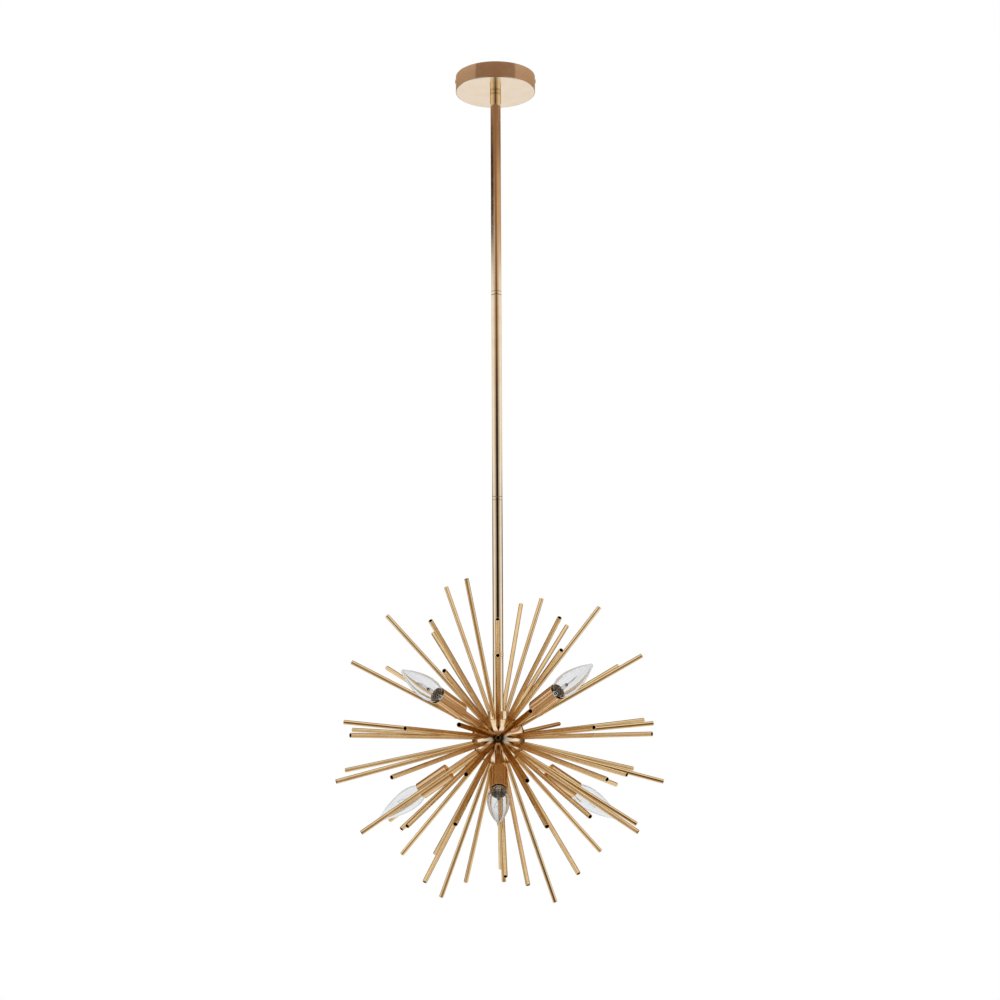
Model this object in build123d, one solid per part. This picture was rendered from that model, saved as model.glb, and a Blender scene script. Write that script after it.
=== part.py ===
from build123d import *
import os
from math import cos, pi, radians, sin, tan

# Starburst chandelier on a jointed downrod, with six candle lamps.
# Millimetres. The origin is the centre of the ceiling plane and the lamp hangs towards -Z.
# The side that the photograph shows faces -Y, and +X is to its right.

# Ceiling crossbar
bar_width = 16.0
bar_thickness = 2.0
bar_half_length = 57.6
bar_drop = 16.0
bar_drop_half_width = 14.0
bar_slope_run = 12.0
bar_tab_depth = 13.0
box_screw_spacing = 88.9
box_slot_width = 4.6
box_slot_length = 12.0
ground_screw_diameter = 4.0
ground_screw_head_diameter = 7.0
ground_screw_head_height = 2.2
ground_screw_from_axis = 31.5

# Thread that hangs the rod, and its nuts
thread_diameter = 9.8
thread_bore = 7.0
thread_clearance = 0.1
hanger_reach_up = 2.0
hanger_nut_height = 4.0
nut_across_flats = 14.0
joint_thread_length = 24.0

# Canopy, its sleeve on the rod and its two side screws
canopy_diameter = 120.6
canopy_height = 25.0
canopy_wall = 1.0
canopy_edge_radius = 1.2
canopy_screw_diameter = 3.9
canopy_screw_hole_play = 0.3
canopy_screw_head_diameter = 7.0
canopy_screw_head_height = 1.0
canopy_screw_below_ceiling = 7.0
sleeve_wall = 0.5
sleeve_length = 17.0
sleeve_flange_diameter = 24.0
sleeve_flange_thickness = 1.0
sleeve_groove_width = 0.6
sleeve_groove_depth = 0.25
sleeve_groove_below_canopy = 2.6
sleeve_chamfer = 0.35
seat_play = 0.02
cut_margin = 1.0

# Downrod: three lengths, a short ring and the stem of the star
rod_diameter = 15.2
rod_wall = 1.0
rod_chamfer = 0.35
running_clearance = 0.1
upper_rod_length = 319.8
middle_rod_length = 304.8
lower_rod_length = 226.8
ring_height = 6.4
ring_diameter = 15.8
ring_groove_depth = 0.35
ring_groove_width = 0.7
stem_length = 89.0
insert_length = 12.0

# Hub of the star: a thick ball with a screwed lid and a neck for the stem
ball_diameter = 76.0
ball_wall = 4.0
lid_top_above_centre = 25.6
lid_thickness = 4.0
lid_spigot_depth = 4.0
lid_spigot_wall = 3.0
mouth_diameter = 51.0
neck_diameter = 28.8
neck_height = 12.4
neck_edge = 0.6
neck_floor = 1.6
hub_nut_height = 4.0
hub_nipple_grip = 11.0

# Spike tubes
tube_diameter = 6.35
tube_bore = 5.1
tube_reach = 244.0
nearly_full_reach = 238.0
rear_reach = 231.0
side_reach = 227.0
short_reach = 223.0
crown_reach = 220.0
shortest_reach = 208.0
tube_blank_start = 27.0
braze_gap = 0.02

# Lamp holders
holder_diameter = 24.8
holder_wall = 0.7
holder_length = 51.0
holder_mouth_from_centre = 139.0
holder_floor = 1.2
arm_diameter = 10.0
arm_bore = 7.2
arm_end_inside_holder = 4.4
arm_nut_across_flats = 15.0
arm_nut_height = 3.0
socket_diameter = 20.6
socket_length = 32.4
socket_floor = 4.0
socket_shell_thickness = 0.4
socket_shell_length = 16.0
socket_ridge_height = 0.25
contact_diameter = 6.0
contact_thickness = 1.0
contact_play = 0.05

# Candle bulbs, measured outwards from the mouth of the holder
base_diameter = 11.9
base_thread_depth = 0.45
base_thread_pitch = 2.54
base_thread_turns = 6
base_skirt_length = 2.4
base_cone_length = 3.4
base_tip_diameter = 4.6
base_end_inside_mouth = 8.0
base_play = 0.1
bulb_length = 76.0
bulb_diameter = 31.0
bulb_neck_diameter = 12.4
bulb_tip_radius = 2.6
bulb_tip_half_angle = 28.0
glass_thickness = 0.8
glass_stem_diameter = 5.2
glass_stem_flare_diameter = 9.6
glass_stem_length = 30.0
filament_wire_diameter = 0.5
filament_span = 13.0
filament_rise = 16.0
filament_coil_diameter = 1.1

# Wiring
cord_diameter = 5.0
cord_end_below_ceiling = 20.0
lead_diameter = 1.8
lead_from_axis = 1.3
lead_top_below_ceiling = 4.6
lead_bend_radius = 6.5
lead_slope_radius = 8.0
lead_first_run = 17.0
lead_slope_run = 7.0
lead_end_run = 14.0
wire_nut_spacing = 13.0
wire_nut_mouth_diameter = 10.0
wire_nut_end_diameter = 7.0
wire_nut_length = 16.0
wire_nut_overlap = 5.0
resting_gap = 0.3
lamp_wire_diameter = 3.0
splice_diameter = 15.0
splice_height = 14.0
splice_edge = 2.0

# Directions of the spike tubes, in whole degrees round from -Y towards +X and up from level.
# A third number is the reach of a tube that is shorter than the rest.
crown_tubes = [(-129, 66), (-31, 69, nearly_full_reach), (128, 68, crown_reach), (165, 56)]
upper_tubes = [(103, 51), (-101, 47), (143, 44), (27, 41), (-147, 41), (0, 40), (-29, 40), (-179, 40)]
raised_tubes = [(99, 29), (23, 28), (157, 28), (-99, 27), (124, 26), (0, 26), (-129, 26), (-179, 26),
                (-18, 21), (-162, 21)]
level_tubes = [(10, 8), (116, 6), (-96, 6, side_reach), (96, 5, side_reach), (157, 5), (-12, 4), (-150, 3),
               (-116, 3), (-30, 3), (31, 3), (59, 1), (-55, 1), (0, 0)]
dipped_tubes = [(-10, -11), (-109, -11), (-170, -11), (114, -12, short_reach), (-36, -12), (-144, -12),
                (53, -13, short_reach), (9, -13), (37, -13), (171, -13), (143, -13), (-72, -14), (90, -15),
                (130, -17)]
lower_tubes = [(33, -25), (147, -25), (-15, -27), (-165, -27), (-34, -28), (17, -28), (163, -28), (-129, -30),
               (88, -32, rear_reach), (68, -32), (-73, -33, nearly_full_reach), (180, -33),
               (-52, -36, shortest_reach)]
skirt_tubes = [(123, -43), (-125, -44), (-146, -45), (3, -48), (41, -48), (139, -48), (-42, -52),
               (179, -53)]
foot_tubes = [(-156, -60), (23, -63, short_reach), (-114, -68), (175, -69, short_reach), (90, -71)]
tube_rings = {"crown_tubes": crown_tubes, "upper_tubes": upper_tubes, "raised_tubes": raised_tubes,
              "level_tubes": level_tubes, "dipped_tubes": dipped_tubes, "lower_tubes": lower_tubes,
              "skirt_tubes": skirt_tubes, "foot_tubes": foot_tubes}

# Directions of the six lamps, in the same angles
lamp_directions = {"front": (0, -31), "lower_left": (-105, -33), "lower_right": (105, -33),
                   "upper_left": (-42, 25), "upper_right": (42, 27), "back": (180, 8)}

# Heights that follow from the sizes above
crossbar_seat = -bar_drop - bar_thickness
rod_top = crossbar_seat - hanger_nut_height
first_joint = rod_top - upper_rod_length
second_joint = first_joint - middle_rod_length
ring_top = second_joint - lower_rod_length
stem_top = ring_top - ring_height
stem_foot = stem_top - stem_length
hub_z = stem_foot - neck_floor - lid_top_above_centre
hub_centre = Vector(0, 0, hub_z)
canopy_floor_top = -canopy_height + canopy_wall

thread_radius = thread_diameter / 2
tapped_radius = thread_radius + thread_clearance
rod_radius = rod_diameter / 2
rod_bore_radius = rod_radius - rod_wall
ball_radius = ball_diameter / 2
sleeve_bore_radius = rod_radius + running_clearance
sleeve_radius = sleeve_bore_radius + sleeve_wall


def direction(azimuth, elevation):
    """Unit vector of a direction given round from -Y towards +X, and up from level."""
    level = cos(radians(elevation))
    return Vector(sin(radians(azimuth)) * level, -cos(radians(azimuth)) * level, sin(radians(elevation)))


def outward(azimuth, elevation):
    """Place at the hub's centre whose own +Z points along the given direction."""
    return Plane(origin=hub_centre, z_dir=direction(azimuth, elevation)).location


def disc(radius, bottom, top):
    """Round bar about Z between two heights."""
    return Pos(0, 0, (bottom + top) / 2) * Cylinder(radius, top - bottom)


def pipe(outer, inner, bottom, top):
    """Hollow round bar about Z between two heights."""
    return disc(outer, bottom, top) - disc(inner, bottom - cut_margin, top + cut_margin)


def turned(points):
    """Solid turned about Z from a closed outline of (radius, height) points."""
    outline = Polyline(*[(radius, 0, height) for radius, height in points], close=True)
    return revolve(make_face(outline), Axis.Z)


def hexagon(across_flats, bore_radius, bottom, top):
    """Hexagon nut about Z between two heights."""
    flat_face = RegularPolygon(across_flats / 2, 6, major_radius=False)
    body = Pos(0, 0, bottom) * extrude(flat_face, top - bottom)
    return body - disc(bore_radius, bottom - cut_margin, top + cut_margin)


def group(solids):
    """One node that holds separate solids."""
    return Compound(children=[part if isinstance(part, Solid) else part.solids()[0] for part in solids])


# Ceiling crossbar, with its dropped middle and its two tabs for the canopy's screws
def make_crossbar():
    slope_start = bar_drop_half_width
    slope_end = bar_drop_half_width + bar_slope_run
    tab_inside = bar_half_length - bar_thickness
    slope_shift = bar_thickness * tan(radians(45) / 2)
    half_outline = [(0, -bar_drop), (slope_start - slope_shift, -bar_drop), (slope_end - slope_shift, 0),
                    (bar_half_length, 0), (bar_half_length, -bar_tab_depth), (tab_inside, -bar_tab_depth),
                    (tab_inside, -bar_thickness), (slope_end, -bar_thickness),
                    (slope_start, -bar_drop - bar_thickness), (0, -bar_drop - bar_thickness)]
    right = extrude(make_face(Polyline(*[(x, 0, z) for x, z in half_outline], close=True)),
                    bar_width / 2, dir=(0, 1, 0), both=True)
    bar = right + mirror(right, Plane.YZ)
    slot = extrude(SlotOverall(box_slot_length, box_slot_width), 2 * bar_thickness, both=True)
    for side in (-1, 1):
        bar -= Pos(side * box_screw_spacing / 2, 0, 0) * slot
        bar -= Pos(side * bar_half_length, 0, -canopy_screw_below_ceiling) * Rot(0, 90, 0) * Cylinder(
            canopy_screw_diameter / 2 + seat_play, 4 * bar_thickness)
    bar -= disc(thread_radius + seat_play, crossbar_seat - cut_margin, cut_margin - bar_drop)
    ground_hole = Cylinder(ground_screw_diameter / 2 + seat_play, 4 * bar_thickness)
    bar -= Pos(ground_screw_from_axis, 0, 0) * ground_hole
    return bar


def make_hanger_nipple():
    foot = rod_top - insert_length
    return pipe(thread_radius, thread_bore / 2, foot, -bar_drop + hanger_reach_up)


def make_hanger_nut():
    return hexagon(nut_across_flats, thread_radius + seat_play, rod_top, crossbar_seat)


def make_ground_screw():
    head = disc(ground_screw_head_diameter / 2, -bar_thickness - ground_screw_head_height, -bar_thickness)
    head = fillet(head.edges().group_by(Axis.Z)[0], ground_screw_head_height / 3)
    head -= Pos(0, 0, -bar_thickness - ground_screw_head_height) * Box(
        ground_screw_head_diameter, ground_screw_diameter / 4, ground_screw_head_height)
    shank = disc(ground_screw_diameter / 2, -bar_thickness, 0)
    return Pos(ground_screw_from_axis, 0, 0) * (head + shank)


# Canopy: a turned pan with a hole for the sleeve and two screw slots that are open at its rim
def make_canopy():
    pan = disc(canopy_diameter / 2, -canopy_height, 0)
    pan = fillet(pan.edges().group_by(Axis.Z)[0], canopy_edge_radius)
    pan -= disc(canopy_diameter / 2 - canopy_wall, canopy_floor_top, cut_margin)
    pan -= disc(sleeve_radius + seat_play, -canopy_height - cut_margin, 0)
    slot_width = canopy_screw_diameter + canopy_screw_hole_play
    slot_end = Cylinder(slot_width / 2, 2 * canopy_diameter)
    pan -= Pos(0, 0, -canopy_screw_below_ceiling) * Rot(0, 90, 0) * slot_end
    pan -= Box(2 * canopy_diameter, slot_width, 2 * canopy_screw_below_ceiling)
    return pan


def make_canopy_sleeve():
    foot = -canopy_height - sleeve_length
    groove_top = -canopy_height - sleeve_groove_below_canopy
    groove_foot = groove_top - sleeve_groove_width
    flange = sleeve_flange_diameter / 2
    return turned([(sleeve_bore_radius, foot), (sleeve_radius - sleeve_chamfer, foot),
                   (sleeve_radius, foot + sleeve_chamfer), (sleeve_radius, groove_foot),
                   (sleeve_radius - sleeve_groove_depth, groove_foot),
                   (sleeve_radius - sleeve_groove_depth, groove_top), (sleeve_radius, groove_top),
                   (sleeve_radius, canopy_floor_top), (flange, canopy_floor_top),
                   (flange, canopy_floor_top + sleeve_flange_thickness),
                   (sleeve_bore_radius, canopy_floor_top + sleeve_flange_thickness)])


def make_canopy_screws():
    inner = bar_half_length - 2 * bar_thickness
    outer = canopy_diameter / 2
    shank = disc(canopy_screw_diameter / 2, inner, outer)
    head = disc(canopy_screw_head_diameter / 2, outer, outer + canopy_screw_head_height)
    head = fillet(head.edges().group_by(Axis.Z)[-1], canopy_screw_head_height / 2)
    head -= Pos(0, 0, outer + canopy_screw_head_height) * Box(
        canopy_screw_diameter / 4, canopy_screw_diameter, canopy_screw_head_height)
    screw = Pos(0, 0, -canopy_screw_below_ceiling) * Rot(0, 90, 0) * (shank + head)
    return group([screw, mirror(screw, Plane.YZ)])


# Downrod
def make_rod(foot, top):
    outer = rod_radius
    edge = outer - rod_chamfer
    return turned([(rod_bore_radius, foot), (edge, foot), (outer, foot + rod_chamfer),
                   (outer, top - rod_chamfer), (edge, top), (rod_bore_radius, top)])


def make_stem_ring():
    outer = ring_diameter / 2
    waist = outer - ring_groove_depth
    middle = (ring_top + stem_top) / 2
    half = ring_groove_width / 2
    return turned([(tapped_radius, stem_top), (waist, stem_top), (outer, stem_top + half),
                   (outer, middle - half), (waist, middle - half), (waist, middle + half),
                   (outer, middle + half), (outer, ring_top - half), (waist, ring_top),
                   (tapped_radius, ring_top)])


def make_rod_inserts():
    radius = rod_bore_radius - seat_play
    ends = [(rod_top - insert_length, rod_top), (first_joint, first_joint + insert_length),
            (first_joint - insert_length, first_joint), (second_joint, second_joint + insert_length),
            (second_joint - insert_length, second_joint), (ring_top, ring_top + insert_length),
            (stem_top - insert_length, stem_top), (stem_foot, stem_foot + insert_length)]
    return group([pipe(radius, tapped_radius, foot, top) for foot, top in ends])


def make_rod_nipples():
    half = joint_thread_length / 2
    middle_of_ring = (ring_top + stem_top) / 2
    return group([pipe(thread_radius, thread_bore / 2, z - half, z + half)
                  for z in (first_joint, second_joint, middle_of_ring)])


# Hub
def make_wire_ways():
    """Holes through the ball's wall for the wires of the lamps, in line with their arms."""
    way = disc(arm_bore / 2, ball_radius / 2, ball_diameter)
    return [outward(*angles) * way for angles in lamp_directions.values()]


def make_hub_ball():
    joint_height = lid_top_above_centre - lid_thickness
    spigot_foot = joint_height - lid_spigot_depth
    shell = Sphere(ball_radius) - Pos(0, 0, ball_diameter / 2 + joint_height) * Box(
        2 * ball_diameter, 2 * ball_diameter, ball_diameter)
    hollow = Sphere(ball_radius - ball_wall) & disc(ball_radius, -ball_radius, spigot_foot)
    shell = shell - hollow - disc(mouth_diameter / 2, spigot_foot - cut_margin, ball_radius)
    return Pos(0, 0, hub_z) * shell - make_wire_ways()


def make_hub_lid():
    top = lid_top_above_centre
    joint_height = top - lid_thickness
    slab = Sphere(ball_radius) & disc(ball_radius, joint_height, top)
    spigot_radius = mouth_diameter / 2 - seat_play
    spigot_foot = joint_height - lid_spigot_depth
    spigot = pipe(spigot_radius, spigot_radius - lid_spigot_wall, spigot_foot, joint_height)
    neck = disc(neck_diameter / 2, top, top + neck_height)
    neck = fillet(neck.edges().group_by(Axis.Z)[-1], neck_edge)
    lid = slab + spigot + neck
    lid -= disc(rod_radius + seat_play, top + neck_floor, top + neck_height + cut_margin)
    lid -= disc(thread_radius + seat_play, joint_height - cut_margin, top + neck_floor + cut_margin)
    return Pos(0, 0, hub_z) * lid


def make_hub_outside():
    """Shape of the closed hub, larger by the gap of a brazed joint, to which tubes and arms are coped."""
    top = lid_top_above_centre + braze_gap
    ball = Sphere(ball_radius + braze_gap) - Pos(0, 0, top + ball_diameter / 2) * Box(
        2 * ball_diameter, 2 * ball_diameter, ball_diameter)
    neck = disc(neck_diameter / 2 + braze_gap, 0, top + neck_height)
    return Pos(0, 0, hub_z) * (ball + neck)


def make_hub_nipple():
    nut_foot = hub_z + lid_top_above_centre - lid_thickness - hub_nut_height
    return pipe(thread_radius, thread_bore / 2, nut_foot, stem_foot + hub_nipple_grip)


def make_hub_nut():
    top = hub_z + lid_top_above_centre - lid_thickness
    return hexagon(nut_across_flats, thread_radius + seat_play, top - hub_nut_height, top)


# Spike tubes, open at the tip and coped to the hub at the other end
def make_tubes(ring, hub_outside):
    tubes = []
    for azimuth, elevation, *reach in ring:
        tip = reach[0] if reach else tube_reach
        blank = outward(azimuth, elevation) * pipe(tube_diameter / 2, tube_bore / 2, tube_blank_start, tip)
        tubes.append((blank - hub_outside).solids().sort_by(SortBy.VOLUME)[-1])
    return group(tubes)


# Lamp holders, drawn along +Z from the hub's centre and then turned outwards
holder_back = holder_mouth_from_centre - holder_length
holder_inside = holder_back + holder_floor
arm_end = holder_inside + arm_end_inside_holder
socket_back = arm_end
socket_front = socket_back + socket_length
base_front = holder_mouth_from_centre - base_end_inside_mouth
base_length = base_skirt_length + base_thread_pitch * base_thread_turns + base_cone_length
base_back = base_front - base_length
base_radius = base_diameter / 2
shell_bore_radius = base_radius + base_play
shell_radius = shell_bore_radius + socket_ridge_height + socket_shell_thickness


def make_arms(hub_outside):
    blank = pipe(arm_diameter / 2, arm_bore / 2, tube_blank_start, arm_end)
    return group([outward(*angles) * blank - hub_outside for angles in lamp_directions.values()])


def make_holder():
    outer = holder_diameter / 2
    inner = outer - holder_wall
    hole = arm_diameter / 2 + seat_play
    corner = holder_wall
    return turned([(hole, holder_back), (outer - corner, holder_back), (outer, holder_back + corner),
                   (outer, holder_mouth_from_centre), (inner, holder_mouth_from_centre),
                   (inner, holder_inside), (hole, holder_inside)])


def make_arm_nut():
    return hexagon(arm_nut_across_flats, arm_diameter / 2 + seat_play, holder_inside,
                   holder_inside + arm_nut_height)


def make_socket():
    body = disc(socket_diameter / 2, socket_back, socket_front)
    body = fillet(body.edges().group_by(Axis.Z)[-1], holder_wall)
    bore_floor = base_back - contact_thickness - contact_play
    bore = disc(shell_radius + seat_play, bore_floor, socket_front + cut_margin)
    wire_way = disc(lamp_wire_diameter / 2 + seat_play, socket_back - cut_margin, socket_back + socket_floor)
    return body - bore - wire_way


def make_socket_shell():
    """Threaded brass shell, as a row of rounded ridges."""
    front = socket_front - socket_shell_thickness
    back = front - socket_shell_length
    turns = int(socket_shell_length / base_thread_pitch)
    inner_wall = [(shell_bore_radius, back)]
    for turn in range(turns):
        low = back + turn * base_thread_pitch
        inner_wall += [(shell_bore_radius, low + 0.3 * base_thread_pitch),
                       (shell_bore_radius + socket_ridge_height, low + 0.5 * base_thread_pitch),
                       (shell_bore_radius, low + 0.7 * base_thread_pitch)]
    inner_wall += [(shell_bore_radius, front), (shell_radius, front), (shell_radius, back)]
    return turned(inner_wall)


def make_socket_contact():
    top = base_back - contact_play
    return disc(contact_diameter / 2, top - contact_thickness, top)


def make_lamp_wire(elevation):
    """Wire of one lamp, from the side of the splice to its socket."""
    tilt = radians(elevation)
    beside_splice = splice_diameter / 2 + lamp_wire_diameter / 2 * abs(sin(tilt)) + seat_play
    return disc(lamp_wire_diameter / 2, beside_splice / cos(tilt), socket_back + socket_floor)


# Candle bulb
def make_bulb_base():
    root = base_radius - base_thread_depth
    cone_top = base_back + base_cone_length
    tip = base_tip_diameter / 2
    wall = [(0, base_back), (tip - base_thread_depth, base_back), (tip, base_back + base_thread_depth),
            (tip, base_back + 2 * base_thread_depth), (root, cone_top)]
    for turn in range(base_thread_turns):
        low = cone_top + turn * base_thread_pitch
        wall += [(base_radius, low + 0.35 * base_thread_pitch), (base_radius, low + 0.65 * base_thread_pitch),
                 (root, low + base_thread_pitch)]
    wall += [(base_radius, cone_top + base_thread_turns * base_thread_pitch + base_thread_depth),
             (base_radius, base_front), (0, base_front)]
    return turned(wall)


def glass_face(inset):
    """Half section of the glass, moved in by the inset: a torpedo with a small round tip."""
    mouth = holder_mouth_from_centre
    share_of_size = [(0.66, 0.0), (0.815, 0.065), (0.945, 0.155), (1.0, 0.28), (0.975, 0.385), (0.855, 0.54),
                     (0.66, 0.70), (0.45, 0.83)]
    outline = [(bulb_diameter / 2 * wide - inset, bulb_length * far) for wide, far in share_of_size]
    outline.insert(0, (bulb_neck_diameter / 2 - inset, -base_end_inside_mouth))
    tip_radius = bulb_tip_radius - inset
    tip_centre = bulb_length - bulb_tip_radius
    turn = radians(bulb_tip_half_angle)
    outline.append((tip_radius * cos(turn), tip_centre + tip_radius * sin(turn)))
    points = [Vector(radius, 0, mouth + far) for radius, far in outline]
    wall = Spline(*points, tangents=[Vector(0.3, 0, 1), Vector(-sin(turn), 0, cos(turn))])
    half_turn = (turn + pi / 2) / 2
    middle = Vector(tip_radius * cos(half_turn), 0, mouth + tip_centre + tip_radius * sin(half_turn))
    tip = Vector(0, 0, mouth + tip_centre + tip_radius)
    foot = Vector(0, 0, base_front)
    return make_face([wall, ThreePointArc(points[-1], middle, tip), Line(tip, foot), Line(foot, points[0])])


def make_glass():
    return revolve(glass_face(0), Axis.Z) - revolve(glass_face(glass_thickness), Axis.Z)


def make_filament():
    """Glass stem with its flared foot, two support wires and the coil between them."""
    foot = base_front
    stem_radius = glass_stem_diameter / 2
    flare = glass_stem_flare_diameter / 2
    top = foot + glass_stem_length
    rim = glass_stem_diameter / 5
    stem = turned([(0, foot), (flare, foot), (flare, foot + rim), (stem_radius, foot + flare),
                   (stem_radius, top - stem_radius / 2), (stem_radius / 2, top), (0, top)])
    wire = filament_wire_diameter / 2
    parts = stem
    for side in (-1, 1):
        start = Vector(side * stem_radius / 3, 0, top - stem_radius)
        bend = Vector(side * filament_span / 2, 0, top + filament_rise / 2)
        end = Vector(side * filament_span / 2, 0, top + filament_rise)
        path = FilletPolyline(start, bend, end, radius=filament_span / 4)
        parts += sweep(Plane(origin=start, z_dir=bend - start) * Circle(wire), path=path)
    coil_height = top + filament_rise - filament_wire_diameter
    parts += Pos(0, 0, coil_height) * Rot(0, 90, 0) * Cylinder(filament_coil_diameter / 2, filament_span)
    return parts


# Wiring
def make_lead_cord():
    splice_top = hub_z + splice_height / 2
    return disc(cord_diameter / 2, splice_top, -cord_end_below_ceiling)


def lead_route(index):
    """Points of one lead from the cord's end to its wire nut."""
    angle = radians(120 * index - 90)
    start = Vector(lead_from_axis * cos(angle), lead_from_axis * sin(angle), -cord_end_below_ceiling)
    across = wire_nut_spacing * (index - 1)
    rest_height = canopy_floor_top + resting_gap + wire_nut_mouth_diameter / 2
    level_end = start.Y - lead_first_run
    slope_end = level_end - lead_slope_run
    return [start, Vector(start.X, start.Y, -lead_top_below_ceiling),
            Vector(across / 2, level_end, -lead_top_below_ceiling), Vector(across, slope_end, rest_height),
            Vector(across, slope_end - lead_end_run, rest_height)]


def make_leads():
    leads = []
    for index in range(3):
        route = lead_route(index)
        path = FilletPolyline(*route, radius=[lead_bend_radius, lead_slope_radius, lead_slope_radius])
        section = Plane(origin=route[0], z_dir=(0, 0, 1)) * Circle(lead_diameter / 2)
        leads.append(sweep(section, path=path))
    return group(leads)


def make_wire_nuts():
    nuts = []
    for index in range(3):
        end = lead_route(index)[-1]
        mouth = wire_nut_mouth_diameter / 2
        bore = lead_diameter / 2 + seat_play
        bore_end = wire_nut_overlap + seat_play
        shell = turned([(bore, 0), (mouth, 0), (mouth, wire_nut_length / 5),
                        (wire_nut_end_diameter / 2, wire_nut_length), (0, wire_nut_length),
                        (0, bore_end), (bore, bore_end)])
        place = Plane(origin=(end.X, end.Y + wire_nut_overlap, end.Z), z_dir=(0, -1, 0)).location
        nuts.append(place * shell)
    return group(nuts)


def make_splice():
    block = disc(splice_diameter / 2, -splice_height / 2, splice_height / 2)
    block = fillet(block.edges().filter_by(GeomType.CIRCLE), splice_edge)
    return Pos(0, 0, hub_z) * block


def write(name, shape):
    export_step(shape, f"parts/{name}.step")
    solids = shape.solids()
    print(name, len(solids), "solids", round(sum(s.volume for s in solids)), "mm3")


def main():
    os.makedirs("parts", exist_ok=True)
    hub_outside = make_hub_outside()
    write("crossbar", make_crossbar())
    write("hanger_nipple", make_hanger_nipple())
    write("hanger_nut", make_hanger_nut())
    write("ground_screw", make_ground_screw())
    write("canopy", make_canopy())
    write("canopy_sleeve", make_canopy_sleeve())
    write("canopy_screws", make_canopy_screws())
    write("rod_upper", make_rod(first_joint, rod_top))
    write("rod_middle", make_rod(second_joint, first_joint))
    write("rod_lower", make_rod(ring_top, second_joint))
    write("stem_ring", make_stem_ring())
    write("stem", make_rod(stem_foot, stem_top))
    write("rod_inserts", make_rod_inserts())
    write("rod_nipples", make_rod_nipples())
    write("hub_ball", make_hub_ball())
    write("hub_lid", make_hub_lid())
    write("hub_nipple", make_hub_nipple())
    write("hub_nut", make_hub_nut())
    for name, ring in tube_rings.items():
        write(name, make_tubes(ring, hub_outside))
    places = {name: outward(*angles) for name, angles in lamp_directions.items()}
    write("lamp_arms", make_arms(hub_outside))
    write("arm_nuts", group([place * make_arm_nut() for place in places.values()]))
    write("sockets", group([place * make_socket() for place in places.values()]))
    write("socket_shells", group([place * make_socket_shell() for place in places.values()]))
    write("socket_contacts", group([place * make_socket_contact() for place in places.values()]))
    write("lamp_wires", group([outward(*angles) * make_lamp_wire(angles[1])
                               for angles in lamp_directions.values()]))
    for name, place in places.items():
        write(f"holder_{name}", place * make_holder())
        write(f"bulb_base_{name}", place * make_bulb_base())
        write(f"bulb_glass_{name}", place * make_glass())
        write(f"bulb_filament_{name}", place * make_filament())
    write("lead_cord", make_lead_cord())
    write("supply_leads", make_leads())
    write("wire_nuts", make_wire_nuts())
    write("splice", make_splice())
    print("star centre", round(hub_z, 1))
    print("rod joints", round(first_joint, 1), round(second_joint, 1))


main()
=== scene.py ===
# %% [markdown]
# # A starburst chandelier
# A round canopy hides the ceiling box. A straight downrod in three lengths hangs from it and ends in a
# polished ball. Thin open tubes and six candle lamps stick out of the ball in all directions.
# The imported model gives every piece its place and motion. This lesson dresses it: each visible piece is
# modelled again with finer edges, and each surface gets a finish made of nodes.

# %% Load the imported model
from math import atan2, cos, hypot, pi, radians, sin, sqrt, tau
import bpy
from mathutils import Matrix, Vector


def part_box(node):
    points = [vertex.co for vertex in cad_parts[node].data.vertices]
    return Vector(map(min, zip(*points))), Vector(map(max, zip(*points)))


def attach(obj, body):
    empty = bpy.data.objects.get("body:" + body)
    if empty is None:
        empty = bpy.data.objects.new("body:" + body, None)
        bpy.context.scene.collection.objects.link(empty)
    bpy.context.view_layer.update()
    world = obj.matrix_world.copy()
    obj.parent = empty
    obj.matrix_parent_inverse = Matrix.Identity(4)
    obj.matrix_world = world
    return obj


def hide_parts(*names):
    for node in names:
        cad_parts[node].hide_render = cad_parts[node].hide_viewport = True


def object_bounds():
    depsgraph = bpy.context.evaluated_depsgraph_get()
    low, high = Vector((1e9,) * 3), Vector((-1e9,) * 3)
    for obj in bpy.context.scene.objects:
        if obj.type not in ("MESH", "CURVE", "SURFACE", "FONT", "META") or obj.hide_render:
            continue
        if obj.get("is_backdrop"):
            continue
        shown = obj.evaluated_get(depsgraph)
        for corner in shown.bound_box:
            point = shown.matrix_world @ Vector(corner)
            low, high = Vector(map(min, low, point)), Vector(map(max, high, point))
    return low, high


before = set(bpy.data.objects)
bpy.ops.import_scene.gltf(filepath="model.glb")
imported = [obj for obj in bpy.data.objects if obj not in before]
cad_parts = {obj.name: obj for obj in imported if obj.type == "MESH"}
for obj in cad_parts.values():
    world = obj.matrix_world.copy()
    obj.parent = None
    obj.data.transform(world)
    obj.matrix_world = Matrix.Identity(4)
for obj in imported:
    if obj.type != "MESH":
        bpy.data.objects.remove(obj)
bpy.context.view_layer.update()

# %% [markdown]
# The sizes come first. They are in millimetres here, because that is how such parts are drawn, and `MM`
# turns them into metres. Heights are above the ceiling plane, so everything that hangs is negative.

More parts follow.
